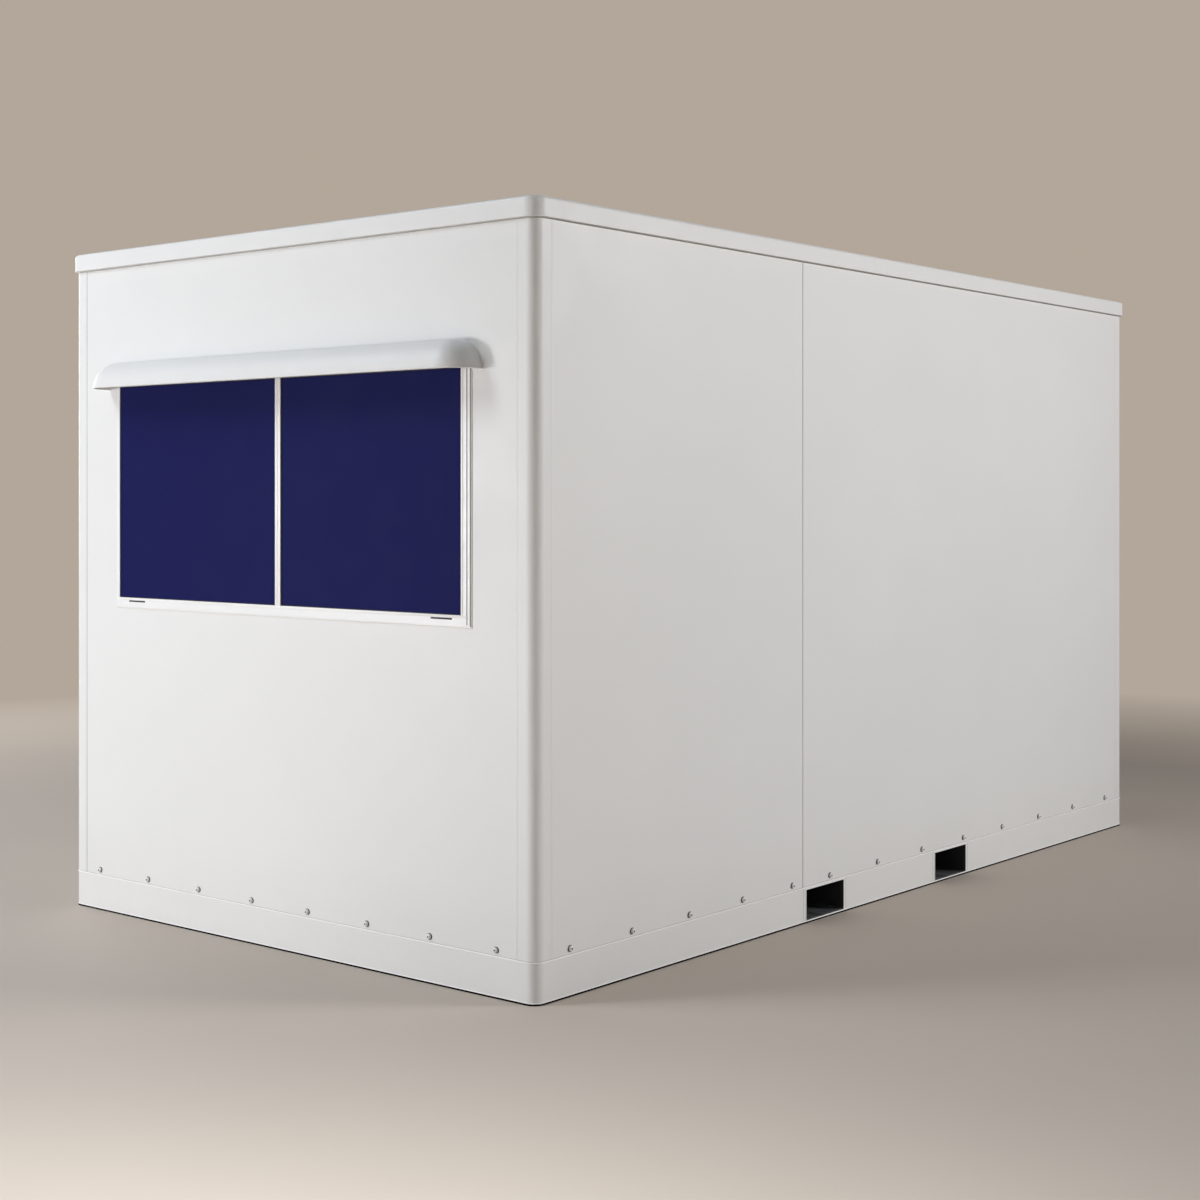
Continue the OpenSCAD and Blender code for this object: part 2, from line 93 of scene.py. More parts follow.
class Finish:
    """A Principled material whose patterns follow Object coordinates."""

    def __init__(self, name, colour, rough, metal=0.0):
        self.material = bpy.data.materials.new(name)
        self.material.use_nodes = True
        self.tree = self.material.node_tree
        self.skin = self.tree.nodes["Principled BSDF"]
        self.skin.inputs["Base Color"].default_value = (*colour, 1)
        self.skin.inputs["Roughness"].default_value = rough
        self.skin.inputs["Metallic"].default_value = metal
        self.place = self.tree.nodes.new("ShaderNodeTexCoord").outputs["Object"]

    def node(self, kind, **values):
        made = self.tree.nodes.new(kind)
        for key, value in values.items():
            setattr(made, key, value)
        return made

    def link(self, a, b):
        self.tree.links.new(a, b)

    def stretched(self, scale):
        """Object coordinates, stretched for streaks and brushing."""
        made = self.node("ShaderNodeMapping")
        made.inputs["Scale"].default_value = scale
        self.link(self.place, made.inputs["Vector"])
        return made.outputs["Vector"]

    def noise(self, scale, detail=3.0, rough=0.5, place=None):
        made = self.node("ShaderNodeTexNoise")
        made.inputs["Scale"].default_value = scale
        made.inputs["Detail"].default_value = detail
        made.inputs["Roughness"].default_value = rough
        self.link(place or self.place, made.inputs["Vector"])
        return made.outputs["Fac"]

    def spread(self, value, low, high, to_low, to_high):
        """Maps low to high onto to_low to to_high."""
        made = self.node("ShaderNodeMapRange")
        for key, number in (("From Min", low), ("From Max", high),
                            ("To Min", to_low), ("To Max", to_high)):
            made.inputs[key].default_value = number
        self.link(value, made.inputs["Value"])
        return made.outputs["Result"]

    def blend(self, share, first, second):
        """Colour that goes from first to second; each is a colour or a socket."""
        made = self.node("ShaderNodeMix", data_type="RGBA")
        self.link(share, made.inputs["Factor"])
        for socket, colour in ((made.inputs["A"], first), (made.inputs["B"], second)):
            if isinstance(colour, tuple):
                socket.default_value = (*colour, 1)
            else:
                self.link(colour, socket)
        return made.outputs["Result"]

    def times(self, a, b):
        """A socket times a socket or a number."""
        made = self.node("ShaderNodeMath", operation="MULTIPLY")
        self.link(a, made.inputs[0])
        if isinstance(b, float):
            made.inputs[1].default_value = b
        else:
            self.link(b, made.inputs[1])
        return made.outputs[0]

    def along(self, axis):
        made = self.node("ShaderNodeSeparateXYZ")
        self.link(self.place, made.inputs[0])
        return made.outputs[axis]

    def paint(self, colour):
        self.link(colour, self.skin.inputs["Base Color"])

    def gloss(self, pattern, low, high):
        """Roughness that wanders from low to high with a pattern."""
        self.link(self.spread(pattern, 0.3, 0.7, low, high), self.skin.inputs["Roughness"])

    def shine(self, level):
        self.skin.inputs["Specular IOR Level"].default_value = level

    def relief(self, *layers):
        """Bump from (pattern, depth) layers, one over another."""
        last = None
        for pattern, depth in layers:
            bump = self.node("ShaderNodeBump")
            bump.inputs["Strength"].default_value = 1.0
            bump.inputs["Distance"].default_value = depth
            self.link(pattern, bump.inputs["Height"])
            if last:
                self.link(last, bump.inputs["Normal"])
            last = bump.outputs["Normal"]
        self.link(last, self.skin.inputs["Normal"])


def gelcoat():
    """White glass-fibre gel coat: faint mottle, orange peel, slow waves, dust low down."""
    dull, bright, dust_brown = (0.80, 0.80, 0.795), (0.83, 0.83, 0.825), (0.50, 0.46, 0.41)
    dusty_below, dust_share = 0.32, 0.16
    f = Finish("gelcoat", (0.82, 0.82, 0.81), 0.45)
    clean = f.blend(f.spread(f.noise(0.9, 4.0, 0.55), 0.3, 0.7, 0.0, 1.0), dull, bright)
    low = f.spread(f.along("Z"), 0.0, dusty_below, 1.0, 0.0)
    dust = f.times(f.times(low, f.noise(14.0, 6.0, 0.65)), dust_share)
    f.paint(f.blend(dust, clean, dust_brown))
    f.gloss(f.noise(5.0, 4.0), 0.40, 0.50)
    f.shine(0.35)
    slow_waves, orange_peel = f.noise(1.7, 1.0), f.noise(240.0, 2.0)
    f.relief((slow_waves, 0.4 * MM), (orange_peel, 0.02 * MM))
    return f.material


def frame_paint(name, colour):
    """White powder-coated aluminium profiles."""
    f = Finish(name, colour, 0.38)
    f.paint(f.blend(f.noise(3.0, 4.0), tuple(c - 0.02 for c in colour), colour))
    f.gloss(f.noise(40.0, 3.0), 0.33, 0.45)
    f.relief((f.noise(900.0, 2.0), 0.012 * MM))
    return f.material


def navy_glazing():
    """Navy glazing that can't be seen through."""
    f = Finish("navy_glazing", (0.011, 0.013, 0.087), 0.5)
    f.paint(f.blend(f.noise(1.6, 3.0), (0.0105, 0.0122, 0.084), (0.0118, 0.0135, 0.090)))
    f.gloss(f.noise(9.0, 5.0), 0.48, 0.56)
    f.shine(0.03)
    f.relief((f.noise(300.0, 2.0), 0.01 * MM))
    return f.material


def skid_paint():
    """Black painted steel, with a painted blue-grey reflection streaked over the floor of the fork
    tubes and painted shade, near black, close to the ground.
    """
    dark, light = (0.026, 0.028, 0.031), (0.046, 0.048, 0.052)
    sheen_blue_grey, shade_black = (0.22, 0.235, 0.26), (0.004, 0.004, 0.004)
    sheen_below, sheen_end = 0.0135, 0.0165
    shade_below, shade_end = 0.005, 0.012
    f = Finish("skid_paint", (0.035, 0.037, 0.04), 0.5)
    # Painted reflection: a blue-grey sheen, streaked like scuffs, low down on the skid and on the
    # floor of the fork tubes.
    sheen_low = f.spread(f.along("Z"), sheen_below, sheen_end, 1.0, 0.0)
    streaks = f.noise(30.0, 6.0, 0.7, f.stretched((0.12, 1.0, 1.0)))
    painted_sheen = f.times(sheen_low, f.spread(streaks, 0.40, 0.62, 0.15, 1.0))
    coat = f.blend(f.noise(7.0, 6.0, 0.6), dark, light)
    # Painted shade: near black close to the ground, where the skid sits in shadow under the base.
    painted_shade = f.spread(f.along("Z"), shade_below, shade_end, 1.0, 0.0)
    f.paint(f.blend(painted_shade, f.blend(painted_sheen, coat, sheen_blue_grey), shade_black))
    f.gloss(f.noise(18.0, 5.0), 0.38, 0.58)
    f.relief((f.noise(130.0, 4.0), 0.06 * MM))
    return f.material


def deck_plywood():
    """Underside of the floor: phenolic-faced plywood."""
    late_wood, early_wood = (0.33, 0.22, 0.13), (0.50, 0.37, 0.24)
    f = Finish("deck_plywood", (0.42, 0.30, 0.19), 0.6)
    grain = f.noise(22.0, 7.0, 0.65, f.stretched((1.0, 0.06, 1.0)))
    f.paint(f.blend(f.spread(grain, 0.35, 0.65, 0.0, 1.0), late_wood, early_wood))
    f.gloss(grain, 0.5, 0.7)
    f.relief((grain, 0.15 * MM))
    return f.material


def matt_rubber(name, colour, shine=0.4):
    """Matt rubber or sealant of one colour, a little clouded."""
    f = Finish(name, colour, 0.7)
    f.shine(shine)
    dark = tuple(0.8 * c for c in colour)
    light = tuple(1.25 * c for c in colour)
    f.paint(f.blend(f.noise(20.0, 5.0), dark, light))
    f.gloss(f.noise(60.0, 3.0), 0.62, 0.8)
    f.relief((f.noise(700.0, 3.0), 0.03 * MM))
    return f.material


def stainless():
    """Brushed stainless steel."""
    f = Finish("stainless", (0.5, 0.51, 0.52), 0.32, 1.0)
    lines = f.noise(260.0, 4.0, 0.6, f.stretched((1.0, 1.0, 0.04)))
    f.paint(f.blend(lines, (0.43, 0.44, 0.45), (0.58, 0.59, 0.60)))
    f.gloss(lines, 0.26, 0.42)
    f.relief((lines, 0.01 * MM))
    return f.material


GELCOAT = gelcoat()
FRAME = frame_paint("frame_paint", (0.88, 0.88, 0.885))
# A brighter copy of the frame paint: its extra white is a painted highlight on beads, lips and
# flanges.
HIGHLIGHT_WHITE = frame_paint("painted_highlight_white", (0.95, 0.945, 0.94))
NAVY = navy_glazing()
SKID = skid_paint()
PLYWOOD = deck_plywood()
RUBBER = matt_rubber("black_rubber", (0.035, 0.035, 0.036))
GREY_RUBBER = matt_rubber("grey_rubber", (0.45, 0.435, 0.415))
SEALANT = matt_rubber("grey_sealant", (0.50, 0.49, 0.47))
# Near black with no shine: a painted contact shadow under the skirt's foot.
CONTACT_SHADOW_BLACK = matt_rubber("painted_contact_shadow", (0.004, 0.0025, 0.0015), 0.0)
STAINLESS = stainless()

FINISH_OF = {
    "gelcoat_white": GELCOAT, "frame_white": FRAME, "navy_glass": NAVY,
    "skid_steel": SKID, "deck_plywood": PLYWOOD, "gasket_rubber": GREY_RUBBER,
    "door_hardware": STAINLESS,
}
for row in frame["record"]["subparts"]:
    shown = frame["nodes"][row["node"]]
    shown.data.materials.clear()
    shown.data.materials.append(FINISH_OF[row["material_slot"]])


# ---------- making pieces ----------

def made_piece(name, bm, material):
    """Turns a bmesh into a named piece of the booth."""
    bmesh.ops.recalc_face_normals(bm, faces=bm.faces)
    mesh = bpy.data.meshes.new(name)
    bm.to_mesh(mesh)
    bm.free()
    mesh.materials.append(material)
    mesh.shade_smooth()
    mesh.set_sharp_from_angle(angle=SMOOTH_UNDER)
    piece = bpy.data.objects.new(name, mesh)
    bpy.context.collection.objects.link(piece)
    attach(piece, "root")


def edges_of(verts):
    """Each edge that ends at these vertices, once and in a fixed order."""
    return list(dict.fromkeys(e for v in verts for e in v.link_edges))


def sharp_among(edges, degrees):
    """The edges between two faces that turn by more than that."""
    return [e for e in edges if len(e.link_faces) == 2
            and e.calc_face_angle(0.0) > radians(degrees)]


def round_edges(bm, edges, radius, segments=2):
    """Rounds these edges."""
    bmesh.ops.bevel(bm, geom=edges, offset=radius, segments=segments, profile=0.5,
                    affect="EDGES", material=-1)


def soft_bar(bm, low, high, radius):
    """Adds a bar between two corners with its edges rounded."""
    low, high = Vector(low), Vector(high)
    made = bmesh.ops.create_cube(bm, size=1.0)["verts"]
    bmesh.ops.scale(bm, vec=high - low, verts=made)
    bmesh.ops.translate(bm, vec=(low + high) / 2, verts=made)
    round_edges(bm, edges_of(made), radius)


def wall_strip(bm, x, y, half_x, half_y, radius):
    """Adds an upright rounded strip as tall as the walls."""
    soft_bar(bm, (x - half_x, y - half_y, WALL_LOW), (x + half_x, y + half_y, WALL_TOP), radius)


def raised_band(bm, face, width, rise):
    """Insets a face, drops its middle and raises the band that is left by a vector."""
    band = bmesh.ops.inset_region(bm, faces=[face], thickness=width, use_boundary=True,
                                  use_even_offset=True)["faces"]
    bmesh.ops.delete(bm, geom=[face], context="FACES_ONLY")
    grown = bmesh.ops.extrude_face_region(bm, geom=band)["geom"]
    tops = [g for g in grown if isinstance(g, bmesh.types.BMVert)]
    bmesh.ops.translate(bm, vec=rise, verts=tops)
    return tops


def soft_ring(bm, low, high, grow, back, face, width, radius):
    """Adds an upright ring with rounded edges, standing out from back to face, towards -Y.

    The opening's corners, low and high, are (x, z), and the ring's outer edge is grow outside them.
    """
    x0, x1 = low[0] - grow, high[0] + grow
    z0, z1 = low[1] - grow, high[1] + grow
    made = bmesh.ops.create_grid(bm, x_segments=1, y_segments=1, size=0.5,
                                 matrix=Matrix.Rotation(pi / 2, 4, "X"))["verts"]
    bmesh.ops.scale(bm, vec=(x1 - x0, 1, z1 - z0), verts=made)
    bmesh.ops.translate(bm, vec=((x0 + x1) / 2, back, (z0 + z1) / 2), verts=made)
    tops = raised_band(bm, made[0].link_faces[0], width, (0, face - back, 0))
    rim = [e for e in edges_of(tops) if all(v in tops for v in e.verts)]
    round_edges(bm, sharp_among(rim, degrees=30), radius)


def plan_ring(bm, half_x, half_y, corner, width, low, high, soft, segments=2):
    """Adds a level ring with round corners and rounded edges, its outer face at half_x and half_y."""
    made = bmesh.ops.create_grid(bm, x_segments=1, y_segments=1, size=0.5)["verts"]
    bmesh.ops.scale(bm, vec=(2 * half_x, 2 * half_y, 1), verts=made)
    bmesh.ops.translate(bm, vec=(0, 0, low), verts=made)
    bmesh.ops.bevel(bm, geom=made, offset=corner, segments=10, profile=0.5,
                    affect="VERTICES", material=-1)
    raised_band(bm, max(bm.faces, key=lambda f: f.calc_area()), width, (0, 0, high - low))
    round_edges(bm, sharp_among(bm.edges, degrees=50), soft, segments)


def pattern_of(bm):
    """A mesh to be copied by set_row."""
    mesh = bpy.data.meshes.new("pattern")
    bm.to_mesh(mesh)
    bm.free()
    return mesh


def stepped_discs(*steps):
    """Discs along +Z, each given as (sides, radius, bottom, top, edge rounding) in mm."""
    bm = bmesh.new()
    for sides, radius, low, high, soft in steps:
        made = bmesh.ops.create_cone(bm, cap_ends=True, segments=sides, radius1=radius * MM,
                                     radius2=radius * MM, depth=(high - low) * MM)["verts"]
        bmesh.ops.translate(bm, vec=(0, 0, (low + high) / 2 * MM), verts=made)
        rim = [e for e in edges_of(made) if all(v.co.z > (high - 0.01) * MM for v in e.verts)]
        round_edges(bm, rim, soft * MM)
    return pattern_of(bm)


def turned_form(profile, steps):
    """A closed form turned round Z from (radius, height) points in mm, first and last on the axis."""
    bm = bmesh.new()
    points = [bm.verts.new((r * MM, 0, z * MM)) for r, z in profile]
    edges = [bm.edges.new(pair) for pair in zip(points, points[1:])]
    bmesh.ops.spin(bm, geom=points + edges, axis=(0, 0, 1), cent=(0, 0, 0), angle=2 * pi,
                   steps=steps, use_merge=True)
    bmesh.ops.remove_doubles(bm, verts=bm.verts, dist=0.01 * MM)
    return pattern_of(bm)


def set_row(name, pattern, places, outward, material):
    """Copies of a pattern at each place, its +Z along outward."""
    turn = Vector((0, 0, 1)).rotation_difference(Vector(outward)).to_matrix().to_4x4()
    bm = bmesh.new()
    for place in places:
        before = len(bm.verts)
        bm.from_mesh(pattern)
        bm.verts.ensure_lookup_table()
        fresh = bm.verts[before:]
        bmesh.ops.transform(bm, matrix=Matrix.Translation(place) @ turn, verts=fresh)
    made_piece(name, bm, material)


# ---------- bolts above the skirt ----------

BOLT_Z = 141 * MM
END_BOLTS = 8
END_PITCH = 268.1 * MM
# For each wall panel: the first bolt's distance from the front end face and the pitch, in mm, and how
# many bolts.
SIDE_BOLTS = ((150, 288.95, 5), (1538.5, 315.06, 8))
# Discs as stepped_discs takes them, and a cap's (radius, height) points, in mm.
BOLT_WASHER = (18, 9.8, 0.0, 2.6, 0.7)
BOLT_DOT = (10, 2.9, 8.6, 9.4, 0.3)
BOLT_CAP = ((0, 2.0), (8.3, 2.0), (8.2, 4.2), (7.2, 6.8), (4.8, 8.6), (0, 9.0))


def bolt_rows():
    """Capped bolts along the foot of each wall, left out across the doorway."""
    seal, cap = stepped_discs(BOLT_WASHER, BOLT_DOT), turned_form(BOLT_CAP, steps=14)
    end_x = [(i + 0.5) * END_PITCH for i in range(-END_BOLTS // 2, END_BOLTS // 2)]
    side_y = [END_Y + (start + i * pitch) * MM for start, pitch, count in SIDE_BOLTS
              for i in range(count)]
    door_side_y = [y for y in side_y if not DOOR_LOW.y < y < DOOR_HIGH.y]
    rows = {
        "front": ([(x, END_Y, BOLT_Z) for x in end_x], (0, -1, 0)),
        "back": ([(x, -END_Y, BOLT_Z) for x in end_x], (0, 1, 0)),
        "right": ([(SIDE_X, y, BOLT_Z) for y in side_y], (1, 0, 0)),
        "left": ([(-SIDE_X, y, BOLT_Z) for y in door_side_y], (-1, 0, 0)),
    }
    for side, (places, outward) in rows.items():
        set_row(f"{side}_bolt_seals", seal, places, outward, RUBBER)
        set_row(f"{side}_bolt_caps", cap, places, outward, FRAME)
    bpy.data.meshes.remove(seal)
    bpy.data.meshes.remove(cap)


bolt_rows()


# ---------- beads, sealant and a painted contact shadow round the base ---

def base_ring(name, material, proud, width, low, high, soft):
    """A ring round the base, standing proud of the skirt, or set in where proud is below zero."""
    bm = bmesh.new()
    plan_ring(bm, SIDE_X + proud, -END_Y + proud, CORNER_R + proud, width, low, high, soft)
    made_piece(name, bm, material)


base_ring("skirt_sealant", SEALANT, proud=-0.4 * MM, width=3 * MM,
          low=SKIRT_TOP - 0.5 * MM, high=WALL_LOW + 0.5 * MM, soft=0.3 * MM)
# The skirt beads' brighter white is a painted highlight along the skirt's top and foot edges.
base_ring("skirt_top_bead", HIGHLIGHT_WHITE, proud=2.2 * MM, width=4 * MM,
          low=SKIRT_TOP - 4.5 * MM, high=SKIRT_TOP + 0.3 * MM, soft=1.9 * MM)
base_ring("skirt_foot_bead", HIGHLIGHT_WHITE, proud=1.6 * MM, width=4 * MM,
          low=SKIRT_LOW + 2 * MM, high=SKIRT_LOW + 5.2 * MM, soft=1.3 * MM)
# A near-black strip: painted contact shadow where the skirt meets the floor.
base_ring("contact_shadow_strip", CONTACT_SHADOW_BLACK, proud=1.2 * MM, width=5 * MM,
          low=0.2 * MM, high=SKIRT_LOW + 2.2 * MM, soft=0.5 * MM)


# ---------- fork pockets ----------

def pocket_trim(side, turn):
    """Lips and steel liners of one side's pocket mouths, and the joints beside their frames."""
    lip_w, lip_proud = 3.2 * MM, 1.4 * MM
    liner_w, liner_over, liner_proud, liner_depth = 1.3 * MM, 0.5 * MM, 1.2 * MM, 12 * MM
    joint_half, joint_proud, joint_foot, joint_head = 0.7 * MM, 0.25 * MM, 6 * MM, 5 * MM
    lips, liners, joints = bmesh.new(), bmesh.new(), bmesh.new()
    face = -SIDE_X
    for y in POCKETS_Y:
        along = y if side == "right" else -y
        low = (along - POCKET_W / 2, POCKET_LOW)
        high = (along + POCKET_W / 2, POCKET_HIGH)
        soft_ring(lips, low, high, grow=lip_w, back=face + MM, face=face - lip_proud,
                  width=lip_w, radius=0.7 * MM)
        soft_ring(liners, low, high, grow=liner_over, back=face + liner_depth,
                  face=face - liner_proud, width=liner_w, radius=0.3 * MM)
        for x in (low[0] - POCKET_RIM, high[0] + POCKET_RIM):
            soft_bar(joints, (x - joint_half, face - joint_proud, SKIRT_LOW + joint_foot),
                     (x + joint_half, face + MM, SKIRT_TOP - joint_head), radius=0.2 * MM)
    # The lips' brighter white is a painted highlight round the pocket mouths.
    for part, bm, material in (("lips", lips, HIGHLIGHT_WHITE), ("liners", liners, SKID),
                               ("joints", joints, GREY_RUBBER)):
        bmesh.ops.transform(bm, matrix=turn, verts=bm.verts)
        made_piece(f"{side}_pocket_{part}", bm, material)


pocket_trim("right", RIGHT_SIDE)
pocket_trim("left", LEFT_SIDE)


# ---------- seams of the walls ----------

def wall_seams():
    """White sealant and rubber strips in the upright seams.

    The sealant closes the seams beside the corner posts on the long sides and, seen from outside, the
    right-hand one of each end. Strips lie in each end's left-hand seam and between the wall panels.
    """
    sealant_half, sealant_out, end_sealant_out = 2.4 * MM, 0.3 * MM, 0.2 * MM
    strip_half, strip_thick = 1.9 * MM, MM
    post_strip_depth, panel_strip_depth = 1.3 * MM, 3 * MM
    sealant, post_strips, panel_strips = bmesh.new(), bmesh.new(), bmesh.new()
    for side in (-1, 1):
        for y in (END_Y + POST_LEG, -END_Y - POST_LEG):
            wall_strip(sealant, side * SIDE_X, y, sealant_out, sealant_half, radius=0.25 * MM)
        wall_strip(panel_strips, side * (SIDE_X - panel_strip_depth), PANEL_SEAM_Y,
                   strip_thick, strip_half, radius=0.3 * MM)
        end_face, seam_x = side * END_Y, side * (SIDE_X - POST_LEG)
        wall_strip(sealant, seam_x, end_face, sealant_half, end_sealant_out, radius=0.15 * MM)
        wall_strip(post_strips, -seam_x, end_face + side * post_strip_depth,
                   strip_half, strip_thick, radius=0.3 * MM)
    made_piece("post_sealant", sealant, GELCOAT)
    made_piece("post_joint_strips", post_strips, RUBBER)
    made_piece("panel_joint_strips", panel_strips, GREY_RUBBER)


wall_seams()


# ---------- windows ----------

DRAIN_X = (681 * MM, 767 * MM)
DRAIN_Z = (1086.5 * MM, 1091.5 * MM)


def window_trim(end, turn):
    """Seals, beads, painted shade lines and outer lip of one window, with the drain slots of its
    sill.
    """
    face, pane = LIP_LOW.y, PANE_LOW.y
    low, high = PANE_LOW.z, PANE_HIGH.z
    half_lock = INTERLOCK_W / 2
    seal_w, seal_proud = 3 * MM, 2 * MM
    seam_half, seam_proud, seam_depth, seam_drop = 1.5 * MM, 0.5 * MM, 2 * MM, 27 * MM
    drain_proud = 1.2 * MM
    bead_proud, bead_depth, bead_soft = 1.5 * MM, 4 * MM, 1.2 * MM
    sill_bead_down, sill_bead_up, jamb_bead_w, interlock_gap = 7 * MM, 0.5 * MM, 8 * MM, 2 * MM
    gasket_in, gasket_w, gasket_end, gasket_proud = 2.8 * MM, 2.5 * MM, 4 * MM, 4.6 * MM
    lip_w, lip_over, lip_proud = 3.2 * MM, 0.3 * MM, 2.8 * MM

    seals = bmesh.new()
    for x0, x1 in ((PANE_LOW.x, -half_lock), (half_lock, PANE_HIGH.x)):
        soft_ring(seals, (x0, low), (x1, high), grow=0, back=pane, face=pane - seal_proud,
                  width=seal_w, radius=0.8 * MM)
    stile_seam = STILE_HIGH.x
    soft_bar(seals, (stile_seam - seam_half, face - seam_proud, low - seam_drop),
             (stile_seam + seam_half, face + seam_depth, high), radius=0.4 * MM)
    for side in (-1, 1):
        x0, x1 = sorted(side * x for x in DRAIN_X)
        soft_bar(seals, (x0, face - drain_proud, DRAIN_Z[0]), (x1, face + MM, DRAIN_Z[1]),
                 radius=0.5 * MM)

    # The beads' brighter white is a painted highlight on the sill, interlock and jamb.
    beads = bmesh.new()
    sill_bead = (STILE_LOW.x, STILE_HIGH.x, low - sill_bead_down, low + sill_bead_up)
    lock_beads = [(-half_lock, -interlock_gap, low, high), (interlock_gap, half_lock, low, high)]
    jamb_bead = (PANE_HIGH.x, PANE_HIGH.x + jamb_bead_w, low, high)
    for x0, x1, z0, z1 in (sill_bead, *lock_beads, jamb_bead):
        soft_bar(beads, (x0, face - bead_proud, z0), (x1, face + bead_depth, z1), bead_soft)

    # Painted shade: grey lines down the jambs beside the outer lip, where the raised frame's flank is
    # in shadow.
    gasket = bmesh.new()
    for edge in (LIP_LOW.x + gasket_in, LIP_HIGH.x - gasket_in - gasket_w):
        soft_bar(gasket, (edge, END_Y - gasket_proud, LIP_LOW.z + gasket_end),
                 (edge + gasket_w, END_Y - MM, LIP_HIGH.z - gasket_end), radius=0.3 * MM)

    # The lip's brighter white is a painted highlight on the window's outer flange.
    lip = bmesh.new()
    soft_ring(lip, (LIP_LOW.x, LIP_LOW.z), (LIP_HIGH.x, LIP_HIGH.z), grow=lip_over,
              back=END_Y + MM, face=END_Y - lip_proud, width=lip_w, radius=0.8 * MM)

    for part, bm, material in (("seals", seals, RUBBER), ("beads", beads, HIGHLIGHT_WHITE),
                               ("gasket", gasket, GREY_RUBBER), ("lip", lip, HIGHLIGHT_WHITE)):
        bmesh.ops.transform(bm, matrix=turn, verts=bm.verts)
        made_piece(f"{end}_window_{part}", bm, material)


def hood_lip(end, turn):
    """Rolled lower edge of a hood, cut off where the hood meets the wall."""
    out, roll_w, roll_h = 1.6 * MM, 7 * MM, 6 * MM
    bm = bmesh.new()
    plan_ring(bm, HOOD_HIGH.x + out, END_Y - HOOD_LOW.y + out, HOOD_R + out, roll_w,
              HOOD_LOW.z - MM, HOOD_LOW.z + roll_h, soft=2.4 * MM, segments=3)
    bmesh.ops.translate(bm, vec=(0, END_Y, 0), verts=bm.verts)
    bmesh.ops.bisect_plane(bm, geom=list(bm.verts) + list(bm.edges) + list(bm.faces),
                           plane_co=(0, END_Y + MM, 0), plane_no=(0, 1, 0), clear_outer=True)
    bmesh.ops.holes_fill(bm, edges=[e for e in bm.edges if e.is_boundary], sides=0)
    bmesh.ops.transform(bm, matrix=turn, verts=bm.verts)
    made_piece(f"{end}_hood_lip", bm, GELCOAT)


for end, turn in (("front", FRONT_END), ("back", BACK_END)):
    window_trim(end, turn)
    hood_lip(end, turn)


# ---------- door ----------

# (radius, height) points in mm.
SCREW_HEAD = ((0, -0.6), (4.2, -0.6), (4.0, 0.6), (2.6, 1.5), (0, 1.8))
LOCK_ROSE = ((0, -1.0), (13.0, -1.0), (13.0, 1.6), (11.8, 3.0), (8.6, 3.2), (8.2, 5.4), (7.4, 6.0),
             (0, 6.0))


def door_seal():
    """Rubber seal in the gap round the door leaf."""
    seal_w, seal_out, set_in, depth = 3.2 * MM, 3.6 * MM, 2.5 * MM, 14 * MM
    bm = bmesh.new()
    soft_ring(bm, (-LEAF_HIGH.y, LEAF_LOW.z), (-LEAF_LOW.y, LEAF_HIGH.z), grow=seal_out,
              back=-SIDE_X + depth, face=-SIDE_X + set_in, width=seal_w, radius=0.8 * MM)
    bmesh.ops.transform(bm, matrix=LEFT_SIDE, verts=bm.verts)
    made_piece("door_seal", bm, RUBBER)


def hinge_details():
    """Joint lines of the hinge barrels and the screws of their leaves."""
    low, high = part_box("door_hinges")
    pin_x = low.x + HINGE_R
    pin_y = (low.y + high.y) / 2
    leaf_h = LEAF_HIGH.z - LEAF_LOW.z
    middles = [LEAF_LOW.z + h for h in (HINGE_END, leaf_h / 2, leaf_h - HINGE_END)]
    ring_r, ring_h, knuckle = HINGE_R + 0.15 * MM, 0.9 * MM, 15 * MM
    screw_out, screw_rise = 21 * MM, 30 * MM
    rings = bmesh.new()
    for z in middles:
        for step in (-knuckle, knuckle):
            made = bmesh.ops.create_cone(rings, cap_ends=True, segments=20, radius1=ring_r,
                                         radius2=ring_r, depth=ring_h)["verts"]
            bmesh.ops.translate(rings, vec=(pin_x, pin_y, z + step), verts=made)
    made_piece("hinge_joint_lines", rings, RUBBER)
    screw = turned_form(SCREW_HEAD, steps=12)
    places = [(-SIDE_X - HINGE_PLATE, pin_y + dy, z + dz) for z in middles
              for dy in (-screw_out, screw_out) for dz in (-screw_rise, 0, screw_rise)]
    set_row("hinge_screws", screw, places, (-1, 0, 0), STAINLESS)
    bpy.data.meshes.remove(screw)


def lock_cylinder():
    """Round lock below the latch plate, with its key slot."""
    below_latch = 34 * MM
    slot_half_w, slot_half_h, slot_out, slot_in = 0.9 * MM, 4.2 * MM, 6.3 * MM, 5.6 * MM
    low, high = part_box("door_latch")
    y, z = (low.y + high.y) / 2, low.z - below_latch
    rose = turned_form(LOCK_ROSE, steps=24)
    set_row("lock_cylinder", rose, [(-SIDE_X, y, z)], (-1, 0, 0), STAINLESS)
    bpy.data.meshes.remove(rose)
    slot = bmesh.new()
    soft_bar(slot, (-SIDE_X - slot_out, y - slot_half_w, z - slot_half_h),
             (-SIDE_X - slot_in, y + slot_half_w, z + slot_half_h), radius=0.2 * MM)
    made_piece("lock_key_slot", slot, RUBBER)


door_seal()
hinge_details()
lock_cylinder()


# ---------- welds of the skid ----------

def cross_welds():
    """Weld beads where the cross members meet the long rails."""
    low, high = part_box("cross_members")
    bead, soft = 5 * MM, 2 * MM
    bm = bmesh.new()
    for side in (-1, 1):
        x0, x1 = sorted((side * high.x, side * (high.x - bead)))
        for y in CROSS_Y:
            for edge in (-CROSS_HALF - bead, CROSS_HALF):
                soft_bar(bm, (x0, y + edge, low.z), (x1, y + edge + bead, high.z), soft)
            soft_bar(bm, (x0, y - CROSS_HALF, low.z - bead), (x1, y + CROSS_HALF, low.z), soft)
    made_piece("cross_member_welds", bm, SKID)


cross_welds()


# ---------- studio ----------

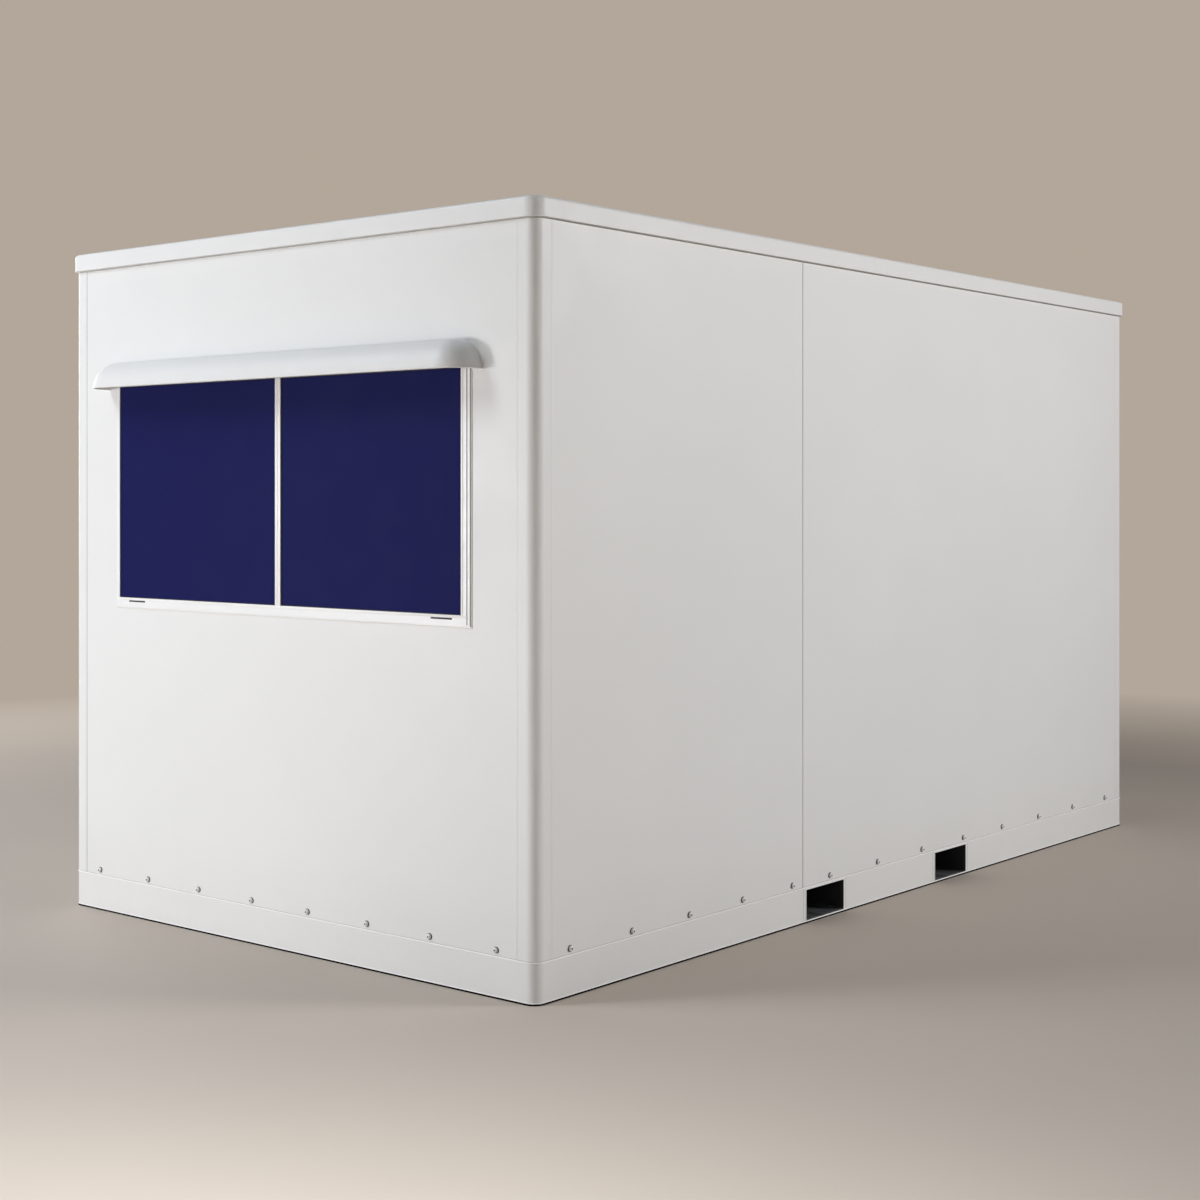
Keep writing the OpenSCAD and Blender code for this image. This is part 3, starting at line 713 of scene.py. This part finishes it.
BACKDROP = (0.45, 0.385, 0.325)
FLOOR_DARK, FLOOR_LIGHT = (0.53, 0.468, 0.41), (0.565, 0.50, 0.438)
FLOOR_RADIUS = 60.0
FLOOR_FADE = (3.8, 7.5)
SKY_FILL = (0.94, 0.97, 1.0)


def studio_floor():
    """Plain pale floor that runs out into the backdrop's tone."""
    bm = bmesh.new()
    bmesh.ops.create_circle(bm, cap_ends=True, segments=96, radius=FLOOR_RADIUS)
    mesh = bpy.data.meshes.new("studio_floor")
    bm.to_mesh(mesh)
    bm.free()
    floor = bpy.data.objects.new("studio_floor", mesh)
    bpy.context.collection.objects.link(floor)
    f = Finish("studio_floor", BACKDROP, 0.9)
    f.paint(f.blend(f.noise(1.2, 6.0, 0.6), FLOOR_DARK, FLOOR_LIGHT))
    distance = f.node("ShaderNodeVectorMath", operation="LENGTH")
    f.link(f.place, distance.inputs[0])
    far = f.spread(distance.outputs["Value"], *FLOOR_FADE, 0.0, 1.0)
    glow = f.node("ShaderNodeEmission")
    glow.inputs["Color"].default_value = (*BACKDROP, 1)
    seen = f.node("ShaderNodeLightPath").outputs["Is Camera Ray"]
    mix = f.node("ShaderNodeMixShader")
    f.link(f.times(far, seen), mix.inputs["Fac"])
    f.link(f.skin.outputs[0], mix.inputs[1])
    f.link(glow.outputs[0], mix.inputs[2])
    f.link(mix.outputs[0], f.tree.nodes["Material Output"].inputs["Surface"])
    mesh.materials.append(f.material)


def studio_world(strength):
    """Cool fill light, with the backdrop's tone seen straight, in gloss and through glass."""
    world = bpy.data.worlds.new("studio")
    bpy.context.scene.world = world
    world.use_nodes = True
    nodes, links = world.node_tree.nodes, world.node_tree.links
    fill = nodes["Background"]
    fill.inputs["Color"].default_value = (*SKY_FILL, 1)
    fill.inputs["Strength"].default_value = strength
    backdrop = nodes.new("ShaderNodeBackground")
    backdrop.inputs["Color"].default_value = (*BACKDROP, 1)
    rays = nodes.new("ShaderNodeLightPath").outputs
    seen = rays["Is Camera Ray"]
    for kind in ("Is Glossy Ray", "Is Transmission Ray"):
        either = nodes.new("ShaderNodeMath")
        either.operation = "MAXIMUM"
        links.new(seen, either.inputs[0])
        links.new(rays[kind], either.inputs[1])
        seen = either.outputs[0]
    mix = nodes.new("ShaderNodeMixShader")
    links.new(seen, mix.inputs["Fac"])
    links.new(fill.outputs[0], mix.inputs[1])
    links.new(backdrop.outputs[0], mix.inputs[2])
    links.new(mix.outputs[0], nodes["World Output"].inputs["Surface"])


def softbox(name, place, aim, size, power, colour=(1, 1, 1), spread=180):
    """An area light that the camera doesn't see; power in watts, spread in degrees."""
    lamp = bpy.data.lights.new(name, "AREA")
    lamp.shape = "RECTANGLE"
    lamp.size, lamp.size_y = size
    lamp.energy = power
    lamp.color = colour
    lamp.spread = radians(spread)
    made = bpy.data.objects.new(name, lamp)
    made.location = place
    made.rotation_euler = (Vector(aim) - Vector(place)).to_track_quat("-Z", "Y").to_euler()
    made.visible_camera = False
    bpy.context.collection.objects.link(made)


def camera():
    """Level camera at eye height, off the booth's front right corner, with upright lines parallel."""
    data = bpy.data.cameras.new("camera")
    data.sensor_width = 36.0
    data.lens = 57.438
    data.shift_y = -0.0858
    made = bpy.data.objects.new("camera", data)
    made.location = (4.671, -6.041, 1.447)
    made.rotation_euler = (radians(90), 0, radians(39.36))
    bpy.context.collection.objects.link(made)
    bpy.context.scene.camera = made


camera()
studio_floor()
studio_world(strength=0.16)
softbox("key", place=(-3.3, -6.9, 1.3), aim=(-0.6, -1.9, 0.9), size=(1.2, 1.2), power=154,
        colour=(0.98, 0.985, 1.0))
softbox("overhead", place=(-2.5, -5.3, 5.6), aim=(-0.2, -2.0, 1.4), size=(2.4, 2.4), power=154,
        colour=(0.85, 0.92, 1.0))
softbox("skirt_fill", place=(-1.2, -7.4, 0.4), aim=(-0.3, -2.0, 0.0), size=(1.6, 0.5), power=2.1,
        colour=(1.0, 0.99, 0.98), spread=40)
softbox("floor_light", place=(1.9, -6.0, 4.7), aim=(2.8, -5.3, 0.0), size=(3.0, 3.0), power=105,
        spread=62)
softbox("side_fill", place=(9.5, 5.0, 4.2), aim=(1.0, -0.7, 1.8), size=(3.0, 3.0), power=136,
        spread=80)
softbox("door_fill", place=(-9.0, 1.0, 2.6), aim=(-1.0, 0.0, 1.2), size=(4.0, 3.0), power=260)

bpy.context.scene.view_settings.view_transform = "Standard"
